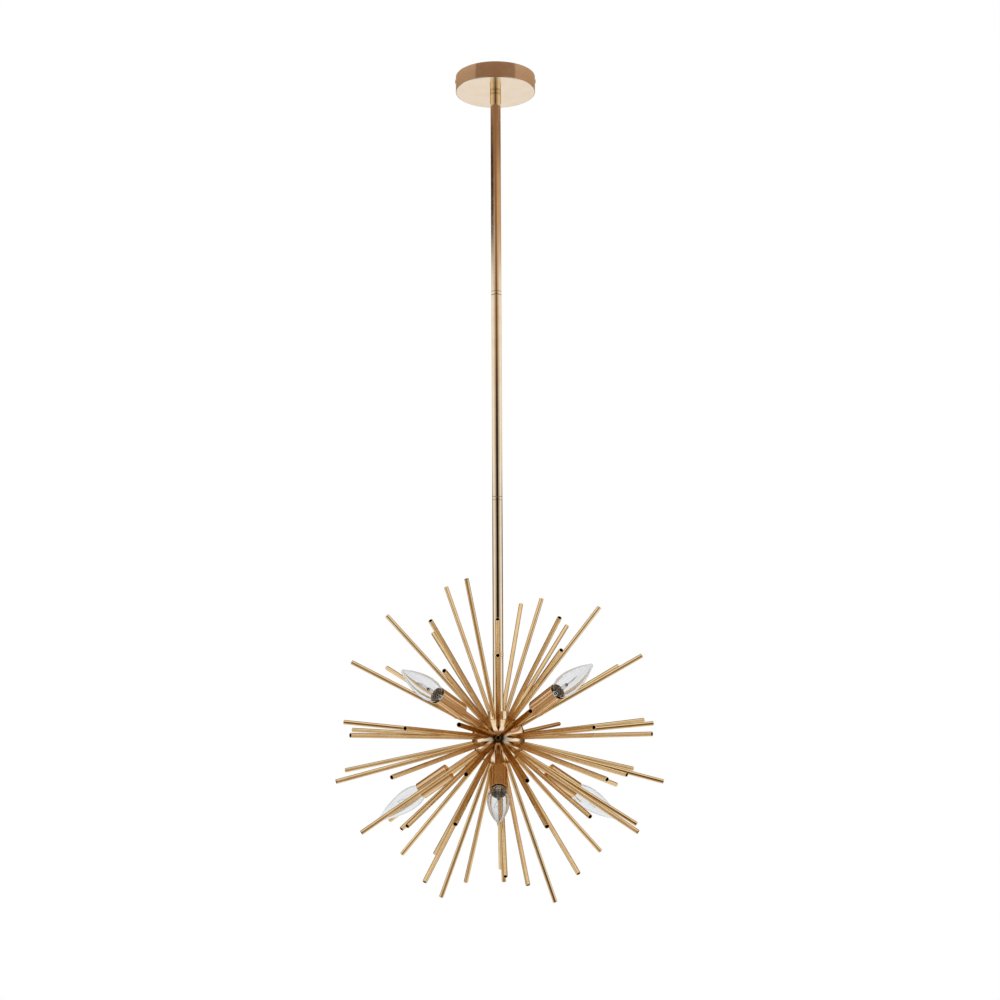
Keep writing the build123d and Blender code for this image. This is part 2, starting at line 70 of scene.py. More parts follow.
# %% Sizes of the hanging parts
MM = 0.001
CANOPY_RADIUS = 60.3
CANOPY_HEIGHT = 25.0
SHEET = 1.0
ROD_RADIUS = 7.6
SLEEVE_BORE = 7.7
SLEEVE_RADIUS = 8.2
SLEEVE_FOOT = -42.0
ROD_TOP = -22.0
FIRST_JOINT = -341.8
SECOND_JOINT = -646.6
RING_TOP = -873.4
STEM_TOP = -879.8
STEM_FOOT = -968.8
HUB_CENTRE = -996.0
BALL_RADIUS = 38.0
LID_SEAM = 21.6
LID_TOP = 25.6
NECK_RADIUS = 14.4
NECK_TOP = 38.0
# Heights of fine dark lines of painted shade, at and near the joints of the rod and of the collar
JOINT_LINES = (FIRST_JOINT, FIRST_JOINT + 5.2, SECOND_JOINT, SECOND_JOINT - 4.8)
COLLAR_LINES = (-27.0, -29.3)
COLLAR_GROOVE = -27.9
print("rod from", ROD_TOP, "to", STEM_FOOT, "mm, ball centred at", HUB_CENTRE, "mm")

# %% Sizes of the star
TUBE_RADIUS = 3.175
TUBE_BORE = 2.55
TUBE_REACH = 244.0
TUBE_SEAT = 37.4
ARM_RADIUS = 5.0
ARM_BORE = 3.6
HOLDER_RADIUS = 12.4
HOLDER_WALL = 0.7
HOLDER_BACK = 88.0
HOLDER_MOUTH = 139.0
SOCKET_BACK = 93.6
SOCKET_FRONT = 126.0
BASE_BACK = 109.96
BASE_FRONT = 131.0
print("star", 2 * TUBE_REACH, "mm across, lamps", HOLDER_MOUTH, "mm out at their mouths")

# %% [markdown]
# The tubes of the star don't stand in a regular pattern, so an array can't place them. Each has a direction
# of its own, read as on a globe: degrees round from the side that faces the camera, towards the right of
# the picture, and degrees up from level. Tubes of one band share a node of the model, and a third number
# is the reach of a tube that is shorter than the rest.

# %% Directions of the tubes and lamps
BANDS = {
    "crown_tubes": [(-129, 66), (-31, 69, 238), (128, 68, 220), (165, 56)],
    "upper_tubes": [(103, 51), (-101, 47), (143, 44), (27, 41), (-147, 41), (0, 40), (-29, 40), (-179, 40)],
    "raised_tubes": [(99, 29), (23, 28), (157, 28), (-99, 27), (124, 26), (0, 26), (-129, 26), (-179, 26),
                     (-18, 21), (-162, 21)],
    "level_tubes": [(10, 8), (116, 6), (-96, 6, 227), (96, 5, 227), (157, 5), (-12, 4), (-150, 3), (-116, 3),
                    (-30, 3), (31, 3), (59, 1), (-55, 1), (0, 0)],
    "dipped_tubes": [(-10, -11), (-109, -11), (-170, -11), (114, -12, 223), (-36, -12), (-144, -12),
                     (53, -13, 223), (9, -13), (37, -13), (171, -13), (143, -13), (-72, -14), (90, -15),
                     (130, -17)],
    "lower_tubes": [(33, -25), (147, -25), (-15, -27), (-165, -27), (-34, -28), (17, -28), (163, -28),
                    (-129, -30), (88, -32, 231), (68, -32), (-73, -33, 238), (180, -33), (-52, -36, 208)],
    "skirt_tubes": [(123, -43), (-125, -44), (-146, -45), (3, -48), (41, -48), (139, -48), (-42, -52),
                    (179, -53)],
    "foot_tubes": [(-156, -60), (23, -63, 223), (-114, -68), (175, -69, 223), (90, -71)],
}
LAMPS = {"front": (0, -31), "lower_left": (-105, -33), "lower_right": (105, -33),
         "upper_left": (-42, 25), "upper_right": (42, 27), "back": (180, 8)}
print(sum(len(band) for band in BANDS.values()), "tubes and", len(LAMPS), "lamps")


def outward(azimuth, elevation, roll=0.0):
    """Matrix that points a piece drawn along +Z out of the hub, in the given direction."""
    level = cos(radians(elevation))
    way = Vector((sin(radians(azimuth)) * level, -cos(radians(azimuth)) * level, sin(radians(elevation))))
    turn = way.to_track_quat("Z", "Y").to_matrix().to_4x4()
    return Matrix.Translation((0, 0, HUB_CENTRE * MM)) @ turn @ Matrix.Rotation(radians(roll), 4, "Z")


# %% [markdown]
# Nearly every piece of this lamp is turned on a lathe, so it is modelled the same way: one edge is drawn
# point by point and spun round the upright axis. A closed outline gives a wall with a real thickness, and a
# solid piece starts and ends a hair off the axis. Primitives joined together would leave faces inside.
# The seam of the spin is merged, and the faces are then made to point outwards.

# %% Lathe helpers
ON_AXIS = 0.0001


def put_down():
    """Nothing stays selected or in edit mode."""
    if bpy.context.object and bpy.context.object.mode != "OBJECT":
        bpy.ops.object.mode_set(mode="OBJECT")
    bpy.ops.object.select_all(action="DESELECT")


def draw_edge(name, points):
    """An open edge through (radius, height) points in millimetres, drawn by extruding one vertex."""
    put_down()
    bpy.ops.mesh.primitive_plane_add(size=MM, location=(0, 0, 0))
    piece = bpy.context.object
    piece.name = piece.data.name = name
    bpy.ops.object.mode_set(mode="EDIT")
    bpy.ops.mesh.merge(type="CENTER")
    bpy.ops.transform.translate(value=(points[0][0] * MM, 0, points[0][1] * MM))
    for before, after in zip(points, points[1:]):
        step = ((after[0] - before[0]) * MM, 0, (after[1] - before[1]) * MM)
        bpy.ops.mesh.extrude_region_move(TRANSFORM_OT_translate={"value": step})
    return piece


def turned(name, points, steps=48, closed=True, smooth_under=35):
    """A piece turned on the lathe from its outline, with smooth walls and crisp corners."""
    outline = points + points[:1] if closed else points
    piece = draw_edge(name, outline)
    bpy.ops.mesh.select_all(action="SELECT")
    bpy.ops.mesh.spin(steps=steps, angle=tau, center=(0, 0, 0), axis=(0, 0, 1))
    bpy.ops.mesh.select_all(action="SELECT")
    bpy.ops.mesh.remove_doubles(threshold=0.000002)
    bpy.ops.mesh.normals_make_consistent(inside=False)
    bpy.ops.object.mode_set(mode="OBJECT")
    unroll(piece)
    bpy.ops.object.shade_smooth_by_angle(angle=radians(smooth_under))
    return piece


def unroll(piece):
    """UV map of a turned piece: round the axis in U, and along the wall in V, both in metres."""
    mesh = piece.data
    chart = mesh.uv_layers.new(name="unrolled") if not mesh.uv_layers else mesh.uv_layers[0]
    widest = max(hypot(v.co.x, v.co.y) for v in mesh.vertices)
    for face in mesh.polygons:
        middle = atan2(face.center.y, face.center.x)
        for corner in face.loop_indices:
            spot = mesh.vertices[mesh.loops[corner].vertex_index].co
            off_axis = hypot(spot.x, spot.y)
            angle = atan2(spot.y, spot.x) if off_axis > 1e-7 else middle
            angle += tau * round((middle - angle) / tau)
            chart.data[corner].uv = (angle * widest, spot.z + off_axis)


def arc(centre, radius, start, end, count):
    """Points of an arc in an outline. Angles are in degrees, from outwards towards up."""
    angles = [start + (end - start) * step / (count - 1) for step in range(count)]
    return [(centre[0] + radius * cos(radians(a)), centre[1] + radius * sin(radians(a))) for a in angles]


# %% [markdown]
# A piece that repeats is modelled once, and each copy gets its own mesh. Copies could share one mesh and be
# turned as objects, but here the place goes into the mesh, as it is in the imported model, so that a piece
# keeps its place when the lamp moves at its joints.

# %% Placing helpers
def placed_copy(pattern, name, matrix):
    """A copy of a pattern piece with its place worked into its own mesh."""
    copy = pattern.copy()
    copy.data = pattern.data.copy()
    copy.data.transform(matrix)
    copy.name = copy.data.name = name
    bpy.context.collection.objects.link(copy)
    return copy


def joined(name, pieces):
    """Several objects made one."""
    put_down()
    for piece in pieces:
        piece.select_set(True)
    bpy.context.view_layer.objects.active = pieces[0]
    if len(pieces) > 1:
        bpy.ops.object.join()
    whole = bpy.context.view_layer.objects.active
    whole.name = whole.data.name = name
    return whole


def lift(piece, height):
    """Moves a finished mesh up or down, in millimetres."""
    piece.data.transform(Matrix.Translation((0, 0, height * MM)))
    return piece


def throw_away(*pieces):
    for piece in pieces:
        bpy.data.objects.remove(piece, do_unlink=True)


def dress(piece, finish, body, slot, *nodes):
    """Gives a piece its finish, its body and the nodes that it stands for."""
    piece.data.materials.clear()
    piece.data.materials.append(finish)
    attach(piece, body)
    if nodes:
        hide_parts(*nodes)
    print(f"{piece.name}: {len(piece.data.polygons)} faces in {finish.name}")
    return piece


# %% [markdown]
# Finishes are written as sums. Wiring Math nodes one by one would hide what is meant, so `Field` wraps one
# output of a node, and adding or multiplying two fields adds the Math node for it.

# %% Sums of fields
class Field:
    """One output of a node, which can be used in a sum."""

    def __init__(self, board, socket):
        self.board = board
        self.socket = socket

    def __add__(self, other):
        return self.board.maths("ADD", self, other)

    __radd__ = __add__

    def __sub__(self, other):
        return self.board.maths("SUBTRACT", self, other)

    def __rsub__(self, other):
        return self.board.maths("SUBTRACT", other, self)

    def __mul__(self, other):
        return self.board.maths("MULTIPLY", self, other)

    __rmul__ = __mul__


# %% [markdown]
# `Board` is a node tree that any node is added to in the same way: its kind, its settings, and the values or
# links of its sockets. The finishes and the world round the lamp are both boards.

# %% Board of nodes
def pick(sockets, name):
    """A socket by its number, name or identifier."""
    if isinstance(name, int):
        return sockets[name]
    return next(s for s in sockets if name in (s.name, s.identifier))


class Board:
    """A node tree, and the methods that add nodes to it."""

    def __init__(self, tree):
        self.tree = tree

    def node(self, kind, settings=(), values=(), output=0):
        """Adds a node with its settings, then the values or links of its inputs."""
        made = self.tree.nodes.new(kind)
        for name, value in dict(settings).items():
            if name == "stops":
                ramp = made.color_ramp
                while len(ramp.elements) < len(value):
                    ramp.elements.new(0.5)
                for stop, (place, colour) in zip(ramp.elements, value):
                    stop.position = place
                    stop.color = colour
            else:
                setattr(made, name, value)
        for name, value in dict(values).items():
            self.feed(pick(made.inputs, name), value)
        return Field(self, pick(made.outputs, output)) if made.outputs else None

    def feed(self, socket, value):
        if isinstance(value, Field):
            self.tree.links.new(value.socket, socket)
        else:
            socket.default_value = value

    def maths(self, operation, first, second):
        return self.node("ShaderNodeMath", {"operation": operation}, {0: first, 1: second})

    def ramp(self, value, *stops):
        """A grey or coloured ramp."""
        spread = [(place, (c, c, c, 1) if isinstance(c, (int, float)) else (*c, 1)) for place, c in stops]
        return self.node("ShaderNodeValToRGB", {"stops": spread}, {"Fac": value})

    def blend(self, share, first, second):
        """Colour between two colours."""
        first, second = (c if isinstance(c, Field) else (*c, 1) for c in (first, second))
        return self.node("ShaderNodeMix", {"data_type": "RGBA"},
                         {"Factor_Float": share, "A_Color": first, "B_Color": second}, output="Result_Color")

    def ray(self, kind):
        """1 for rays of one kind, and 0 for all others."""
        return self.node("ShaderNodeLightPath", output=f"Is {kind} Ray")

    def along(self, axis, chart="Object"):
        """One coordinate of the place or direction that is shaded."""
        where = self.node("ShaderNodeTexCoord", output=chart)
        return self.node("ShaderNodeSeparateXYZ", {}, {"Vector": where}, output=axis)


# %% [markdown]
# A finish is a board that ends in one Principled surface. Its patterns are clouds of noise, placed by object
# coordinates or by the unrolled map, and a relief turns a pattern into a bump.

# %% Finish helper
class Finish(Board):
    """A material with one Principled surface."""

    def __init__(self, name, **constants):
        self.material = bpy.data.materials.new(name)
        self.material.use_nodes = True
        super().__init__(self.material.node_tree)
        self.surface = next(n for n in self.tree.nodes if n.type == "BSDF_PRINCIPLED")
        for socket, value in constants.items():
            self.surface.inputs[socket.replace("_", " ")].default_value = value

    def place(self, scale=(1, 1, 1), chart=False):
        """Object coordinates, or the unrolled map, stretched along each axis."""
        where = self.node("ShaderNodeTexCoord", output="UV" if chart else "Object")
        return self.node("ShaderNodeMapping", {"vector_type": "POINT"}, {"Vector": where, "Scale": scale})

    def cloud(self, scale, detail=3.0, roughness=0.5, stretch=(1, 1, 1), chart=False, distortion=0.0):
        """Noise from 0 to 1 in patches of about 1 / scale metres."""
        return self.node("ShaderNodeTexNoise", {"noise_dimensions": "3D"}, {
            "Vector": self.place(stretch, chart), "Scale": scale, "Detail": detail,
            "Roughness": roughness, "Distortion": distortion})

    def relief(self, height, depth, strength):
        """Bump from a height field, with its depth in millimetres."""
        return self.node("ShaderNodeBump", {},
                         {"Height": height, "Distance": depth * MM, "Strength": strength})

    def shade(self, **fields):
        """Feeds the surface: colour, roughness, metallic, normal and so on."""
        for name, value in fields.items():
            self.feed(self.surface.inputs[name.replace("_", " ")], value)
        print(f"{self.material.name}: {len(self.tree.nodes)} nodes")
        return self.material


# %% [markdown]
# ## Gold plated metal
# The rods, tubes and holders are polished and plated in an antique gold. One flat colour would look like
# paint, because real plating is never even: its tone drifts in soft patches, fine polishing lines run along
# or round the piece, and fingerprints and dust change the gloss. Seen flat along its surface such a metal
# turns brown or orange, which the specular tint gives. Where two pieces meet, a fine dark line of painted
# shade is drawn at its height, as if the joint stood in shadow.

# %% Gold finishes
SHADED_LINE_HALF = 0.35


def gold(name, light, deep, lines, gloss, edge, line_depth=0.0007, shaded_lines=()):
    """Plated metal. `lines` stretches the polishing lines on the unrolled map, and at each height in the last
    argument a fine dark line of painted shade is drawn, as in the shadow of a joint."""
    f = Finish(name, Metallic=1.0, Specular_Tint=(*edge, 1), IOR=1.45)
    drift = f.cloud(38, detail=2.0)
    patches = f.cloud(170, detail=4.0, roughness=0.6, distortion=0.4)
    strokes = f.cloud(1.0, detail=5.0, roughness=0.7, stretch=lines, chart=True)
    smears = f.ramp(f.cloud(75, detail=5.0, roughness=0.65, distortion=1.2), (0.48, 0.0), (0.72, 1.0))
    tone = f.ramp(drift * 0.65 + patches * 0.35, (0.3, light), (0.72, deep))
    tone = f.blend(f.ramp(strokes, (0.42, 0.0), (0.75, 0.22)), tone, tuple(0.78 * c for c in deep))
    specks = f.ramp(f.cloud(2600, detail=1.0), (0.76, 0.0), (0.80, 0.4))
    tone = f.blend(specks, tone, tuple(0.55 * c for c in deep))
    # Painted shade: each height gets a fine dark line, as if the joint there stood in shadow.
    for seam in shaded_lines:
        near = f.node("ShaderNodeMath", {"operation": "COMPARE"},
                      {0: f.along("Z"), 1: seam * MM, 2: SHADED_LINE_HALF * MM})
        tone = f.blend(near * 0.85, tone, tuple(0.15 * c for c in deep))
    return f.shade(Base_Color=tone, Roughness=gloss + strokes * 0.05 + smears * 0.05,
                   Normal=f.relief(strokes, line_depth, 0.4))


EDGE_BROWN = (0.18, 0.10, 0.05)
EDGE_ORANGE = (0.55, 0.35, 0.15)
EDGE_GREY = (0.62, 0.56, 0.48)
EDGE_PALE = (0.9, 0.86, 0.8)
tube_gold = gold("tube_gold", (0.93, 0.72, 0.43), (0.76, 0.55, 0.29), (2600, 60, 1), 0.04, EDGE_ORANGE,
                 line_depth=0.0003)
rod_gold = gold("rod_gold", (0.94, 0.80, 0.60), (0.86, 0.68, 0.46), (2400, 40, 1), 0.06, EDGE_GREY,
                shaded_lines=JOINT_LINES)
# The collar has the rods' plating. Its more orange tone and browner edge tint are painted light, because it
# catches other light than the rod.
collar_gold_with_painted_light = gold("collar_gold_with_painted_light", (0.97, 0.76, 0.44), (0.90, 0.64, 0.34), (60, 2200, 1), 0.05, EDGE_BROWN,
                   shaded_lines=COLLAR_LINES)
holder_gold = gold("holder_gold", (0.88, 0.66, 0.42), (0.76, 0.53, 0.30), (2200, 60, 1), 0.08, EDGE_ORANGE)
canopy_gold = gold("canopy_gold", (0.87, 0.74, 0.60), (0.82, 0.68, 0.53), (30, 2600, 1), 0.10, EDGE_PALE)
lid_gold = gold("lid_gold", (0.92, 0.78, 0.58), (0.84, 0.66, 0.44), (40, 2400, 1), 0.06, EDGE_BROWN)

# %% [markdown]
# ## Mirror polish
# The ball is the brightest piece: it mirrors the pale sides of the room, and only its rim turns dark. Its
# polish is finer, with faint wheel marks and a little haze. It could share the gold of the rods, but their
# coarser lines would blur what a ball mirrors.

# %% Ball finish
def mirror_polish():
    f = Finish("ball_mirror", Metallic=1.0, Specular_Tint=(0.12, 0.06, 0.03, 1))
    haze = f.cloud(60, detail=5.0, roughness=0.6, distortion=0.8)
    wheel = f.cloud(1.0, detail=4.0, roughness=0.7, stretch=(50, 2600, 1), chart=True)
    tone = f.ramp(haze, (0.3, (0.95, 0.79, 0.60)), (0.75, (0.88, 0.69, 0.48)))
    tone = f.blend(f.ramp(wheel, (0.6, 0.0), (0.85, 0.2)), tone, (0.6, 0.45, 0.30))
    return f.shade(Base_Color=tone, Roughness=0.03 + haze * 0.03 + wheel * 0.02,
                   Normal=f.relief(wheel, 0.0006, 0.4))


ball_mirror = mirror_polish()

# %% [markdown]
# ## Plain metals
# Hidden brackets, nuts and threads are zinc plated, with the grey spangle and the dull bands of plating.
# The bulbs' bases are nickel and the socket shells are bare brass, which dulls where a base has rubbed.
# One function makes all three, because they differ only in tone, gloss and the way their scratches run.
# The green screw is enamel over steel, so its chips turn from paint into metal.

# %% Zinc, nickel, bare brass and green paint
def plain_metal(name, light, deep, gloss, scale=420, lines=(300, 300, 300), depth=0.01):
    f = Finish(name, Metallic=1.0)
    spangle = f.cloud(scale, detail=3.0, distortion=1.5)
    scratches = f.cloud(1.0, detail=4.0, roughness=0.8, stretch=lines)
    dirt = f.ramp(f.cloud(110, detail=5.0, roughness=0.7), (0.5, 0.0), (0.8, 0.6))
    tone = f.blend(dirt, f.ramp(spangle, (0.3, light), (0.7, deep)), tuple(0.5 * c for c in deep))
    return f.shade(Base_Color=tone, Roughness=gloss + spangle * 0.15 + dirt * 0.15,
                   Normal=f.relief(scratches + spangle * 0.5, depth, 0.5))


zinc = plain_metal("zinc_plating", (0.66, 0.67, 0.66), (0.50, 0.51, 0.50), 0.28, lines=(40, 1800, 1800))
nickel = plain_metal("nickel_base", (0.56, 0.52, 0.45), (0.38, 0.34, 0.27), 0.28, 800)
bare_brass = plain_metal("bare_brass", (0.78, 0.60, 0.32), (0.58, 0.42, 0.20), 0.24, 700)


def painted(name, light, deep, gloss):
    """Enamel with an uneven coat and small chips of bare steel."""
    f = Finish(name, Coat_Weight=0.4)
    coat = f.cloud(500, detail=3.0)
    chips = f.ramp(f.cloud(900, detail=4.0, roughness=0.7), (0.68, 0.0), (0.71, 1.0))
    tone = f.blend(chips, f.ramp(coat, (0.3, light), (0.7, deep)), (0.5, 0.5, 0.48))
    return f.shade(Base_Color=tone, Roughness=gloss + coat * 0.2, Metallic=chips,
                   Normal=f.relief(coat - chips, 0.02, 0.6))


green_paint = painted("green_paint", (0.05, 0.36, 0.13), (0.03, 0.24, 0.08), 0.25)

# %% [markdown]
# ## Plastics
# The sockets are moulded in a black heat-proof plastic, the wire nuts in orange and the wires have a smooth
# jacket. Moulded plastic shows a fine grain, a slightly uneven gloss and pale dust, and without these it
# would look like wax. The grain is a bump, because it is too fine to model.

# %% Plastic finishes
def plastic(name, light, deep, gloss, grain=1500, depth=0.02, dust=0.25):
    f = Finish(name, IOR=1.5)
    skin = f.cloud(grain, detail=4.0, roughness=0.6)
    tone = f.ramp(f.cloud(130, detail=4.0), (0.3, light), (0.75, deep))
    dusty = f.ramp(f.cloud(320, detail=5.0, roughness=0.75), (0.55, 0.0), (0.85, dust))
    tone = f.blend(dusty, tone, (0.45, 0.43, 0.40))
    return f.shade(Base_Color=tone, Roughness=gloss + skin * 0.2 + dusty * 0.3,
                   Normal=f.relief(skin, depth, 0.6))


socket_black = plastic("socket_black", (0.035, 0.033, 0.032), (0.02, 0.019, 0.018), 0.35)
nut_orange = plastic("wire_nut_orange", (0.82, 0.29, 0.05), (0.66, 0.20, 0.03), 0.28, 900)
lead_black = plastic("lead_black", (0.05, 0.05, 0.052), (0.03, 0.03, 0.032), 0.38, 1200)
cord_cream = plastic("cord_cream", (0.76, 0.72, 0.63), (0.66, 0.61, 0.52), 0.4, 1200)

# %% [markdown]
# ## Glass and filament
# The bulbs are clear blown glass. Blown glass is a little wavy, which only a bump shows. A pane of one
# tint would vanish against the white ground, so the tint is darker where the eye looks along the wall, as
# it is in real glass. The stem inside is thicker glass, and the wires in it are bright metal.

# %% Glass finishes
def clear_glass(name, wave, depth, tint, rim):
    """Glass that is darker where it is seen along its wall, because the light goes through more of it."""
    f = Finish(name, Transmission_Weight=1.0, IOR=1.45, Roughness=0.0)
    waves = f.cloud(wave, detail=2.0, distortion=0.6)
    film = f.ramp(f.cloud(90, detail=4.0, roughness=0.6), (0.45, tint), (0.8, tuple(0.96 * c for c in tint)))
    along = f.node("ShaderNodeLayerWeight", {}, {"Blend": 0.5}, output="Facing")
    film = f.blend(f.ramp(along, (0.55, 0.0), (0.97, 1.0)), film, rim)
    haze = f.ramp(f.cloud(240, detail=5.0), (0.55, 0.0), (0.9, 0.06))
    return f.shade(Base_Color=film, Roughness=haze, Normal=f.relief(waves, depth, 0.35))


bulb_glass = clear_glass("bulb_glass", 120, 0.05, (0.90, 0.91, 0.92), (0.42, 0.43, 0.44))
stem_glass = clear_glass("stem_glass", 400, 0.04, (0.95, 0.96, 0.95), (0.60, 0.61, 0.61))


def filament_metal():
    f = Finish("filament_wire", Metallic=1.0)
    grain = f.cloud(3000, detail=3.0)
    return f.shade(Base_Color=f.ramp(grain, (0.3, (0.55, 0.52, 0.47)), (0.7, (0.36, 0.33, 0.29))),
                   Roughness=0.25 + grain * 0.2)


filament_wire = filament_metal()

# %% [markdown]
# ## Canopy
# The canopy is a shallow spun pan, 1 mm thick, with a soft lower edge. A cylinder with a bevel would have no
# inside, so the whole wall is one outline on the lathe. Rings close to the rounded edge keep the shine of
# the flat floor and the straight wall even. The two screws sit in slots that are open at the rim, so the
# pan can drop when they are loosened. The slots are cut with a Boolean modifier.

# %% Canopy
def make_canopy():
    outer, inner, floor = CANOPY_RADIUS, CANOPY_RADIUS - SHEET, -CANOPY_HEIGHT
    outline = [(SLEEVE_RADIUS + 0.05, floor), (18, floor), (36, floor), (outer - 1.7, floor)]
    outline += arc((outer - 1.2, floor + 1.2), 1.2, -90, 0, 7)
    outline += [(outer, floor + 1.7), (outer, -12), (outer, -0.8)]
    outline += arc((outer - 0.35, -0.35), 0.35, 20, 90, 3)
    outline += [(inner + 0.2, 0), (inner, -0.2), (inner, -12), (inner, floor + 1.6)]
    outline += [(inner - 0.6, floor + SHEET), (40, floor + SHEET), (SLEEVE_RADIUS + 0.05, floor + SHEET)]
    pan = turned("canopy_pan", outline, steps=96)
    put_down()
    bpy.ops.mesh.primitive_cube_add(size=MM, location=(0, 0, -3.5 * MM))
    cutter = bpy.context.object
    cutter.scale = (130, 4.2, 7)
    bpy.ops.object.transform_apply(location=True, scale=True)
    bpy.ops.mesh.primitive_cylinder_add(vertices=24, radius=2.1 * MM, depth=130 * MM,
                                        rotation=(0, pi / 2, 0), location=(0, 0, -7 * MM))
    cutter = joined("slot_cutter", [bpy.context.object, cutter])
    bpy.ops.object.transform_apply(location=True, rotation=True, scale=True)
    put_down()
    bpy.context.view_layer.objects.active = pan
    pan.select_set(True)
    cut = pan.modifiers.new("screw_slots", "BOOLEAN")
    cut.object = cutter
    cut.operation = "DIFFERENCE"
    cut.use_self = True
    bpy.ops.object.modifier_apply(modifier=cut.name)
    throw_away(cutter)
    return pan


dress(make_canopy(), canopy_gold, "canopy", "gold", "canopy")

# %% [markdown]
# The sleeve under the canopy is a short collar round the rod, with one fine groove. A flange inside the
# canopy carries it. Collar and flange are one turned piece, so they are one outline too.

# %% Canopy sleeve
def make_sleeve():
    r, foot, groove = SLEEVE_RADIUS, SLEEVE_FOOT, COLLAR_GROOVE
    outline = [(SLEEVE_BORE, foot), (r - 0.3, foot), (r - 0.08, foot + 0.1)]
    outline += [(r, foot + 0.35), (r, foot + 0.8)]
    outline += [(r, groove - 0.35), (r - 0.22, groove - 0.25), (r - 0.22, groove + 0.25), (r, groove + 0.35)]
    outline += [(r, -25.2), (r, -24.0), (12.0, -24.0), (12.0, -23.2), (11.8, -23.0), (SLEEVE_BORE, -23.0)]
    return turned("canopy_collar", outline, steps=64)


dress(make_sleeve(), collar_gold_with_painted_light, "canopy", "gold", "canopy_sleeve")

# %% [markdown]
# ## Downrod
# Three lengths of thin pipe meet face to face over hidden threads. One long cylinder would show no joints,
# so each length is turned by itself, with a tiny rounded edge at both ends. Rings next to these edges keep
# the long wall straight in its shading. A short ring with a groove ends the last length, and the stem
# below it goes into the neck of the ball.

# %% Rods, stem and ring
def make_rod(name, foot, top):
    r, bore, edge = ROD_RADIUS, ROD_RADIUS - 1.0, 0.35
    outline = [(bore, foot), (r - edge, foot)] + arc((r - edge, foot + edge), edge, -60, 0, 4)
    span = top - foot
    outline += [(r, foot + 0.9)] + [(r, foot + span * share) for share in (0.25, 0.5, 0.75)]
    outline += [(r, top - 0.9)]
    outline += arc((r - edge, top - edge), edge, 0, 60, 4) + [(r - edge, top), (bore, top)]
    return turned(name, outline, steps=64)


for rod_name, foot, top in (("rod_upper", FIRST_JOINT, ROD_TOP), ("rod_middle", SECOND_JOINT, FIRST_JOINT),
                            ("rod_lower", RING_TOP, SECOND_JOINT), ("stem", STEM_FOOT, STEM_TOP)):
    dress(make_rod(f"{rod_name}_pipe", foot, top), rod_gold, "hanging_lamp", "gold", rod_name)


def make_ring():
    full, waist = 7.9, 7.5
    middle = (RING_TOP + STEM_TOP) / 2
    outline = [(5.0, STEM_TOP), (waist, STEM_TOP), (full - 0.1, STEM_TOP + 0.25), (full, STEM_TOP + 0.5)]
    outline += [(full, middle - 0.5), (full - 0.1, middle - 0.35), (waist, middle - 0.2)]
    outline += [(waist, middle + 0.2), (full - 0.1, middle + 0.35), (full, middle + 0.5)]
    outline += [(full, RING_TOP - 0.5), (full - 0.1, RING_TOP - 0.25), (waist, RING_TOP), (5.0, RING_TOP)]
    return turned("stem_ring_turned", outline, steps=64)


dress(make_ring(), rod_gold, "hanging_lamp", "gold", "stem_ring")

# %% [markdown]
# ## Ball, lid and neck
# The ball is thick, because it carries all tubes and arms. It is cut flat near the top, and a lid with a
# neck closes it. A sphere from the menu has no wall and no seat for a lid, so both pieces are arcs on the
# lathe. The lid's rim carries on the ball's curve, so only a hairline shows the joint.

# %% Ball and lid
def make_ball():
    seam = LID_SEAM - 0.06
    rim = sqrt(BALL_RADIUS ** 2 - seam ** 2)
    lowest, highest = -90, 34.4
    wall = arc((0, 0), BALL_RADIUS, lowest, highest, 56)
    outline = wall + [(rim, seam), (25.6, seam), (25.6, 17.6)]
    inside = arc((0, 0), BALL_RADIUS - 4, 31, -90, 24)
    return lift(turned("ball", outline + inside, steps=96, closed=False), HUB_CENTRE)


def make_lid():
    top_rim = sqrt(BALL_RADIUS ** 2 - LID_TOP ** 2)
    low_rim = sqrt(BALL_RADIUS ** 2 - LID_SEAM ** 2)
    outline = [(4.95, LID_TOP - 4), (4.95, LID_TOP + 1.6), (7.62, LID_TOP + 1.6), (7.62, NECK_TOP - 0.3),
               (7.9, NECK_TOP)]
    outline += [(NECK_RADIUS - 0.6, NECK_TOP)] + arc((NECK_RADIUS - 0.6, NECK_TOP - 0.6), 0.6, 75, 0, 5)
    outline += [(NECK_RADIUS, LID_TOP + 0.8)] + arc((NECK_RADIUS + 0.8, LID_TOP + 0.8), 0.8, 180, 270, 5)
    outline += [(20, LID_TOP), (top_rim - 0.4, LID_TOP), (top_rim - 0.08, LID_TOP - 0.06)]
    outline += arc((0, 0), BALL_RADIUS, 42.1, 34.9, 6)
    outline += [(low_rim - 0.25, LID_SEAM), (25.48, LID_SEAM), (25.48, 17.6), (22.5, 17.6), (22.5, LID_SEAM)]
    return lift(turned("lid", outline, steps=96), HUB_CENTRE)


dress(make_ball(), ball_mirror, "hanging_lamp", "gold_mirror", "hub_ball")
dress(make_lid(), lid_gold, "hanging_lamp", "gold", "hub_lid")

# %% [markdown]
# ## Spike tubes
# A spike is a thin pipe, open at its tip, with the cut edge broken inside and outside, and brazed to the
# ball at its other end. One is turned with its tip at full reach. Each copy is then cut to its own length,
# by moving the two ends of its mesh: a tube on the lid or the neck starts nearer to the centre.

# %% One tube
def make_tube_pattern():
    r, bore, tip = TUBE_RADIUS, TUBE_BORE, TUBE_REACH
    outline = [(bore, TUBE_SEAT), (r, TUBE_SEAT), (r, TUBE_SEAT + 70), (r, TUBE_SEAT + 140)]
    outline += [(r, tip - 0.7), (r, tip - 0.22)]
    outline += [(r - 0.07, tip - 0.06), (r - 0.2, tip), (bore + 0.12, tip), (bore, tip - 0.14)]
    return turned("tube_pattern", outline, steps=24)


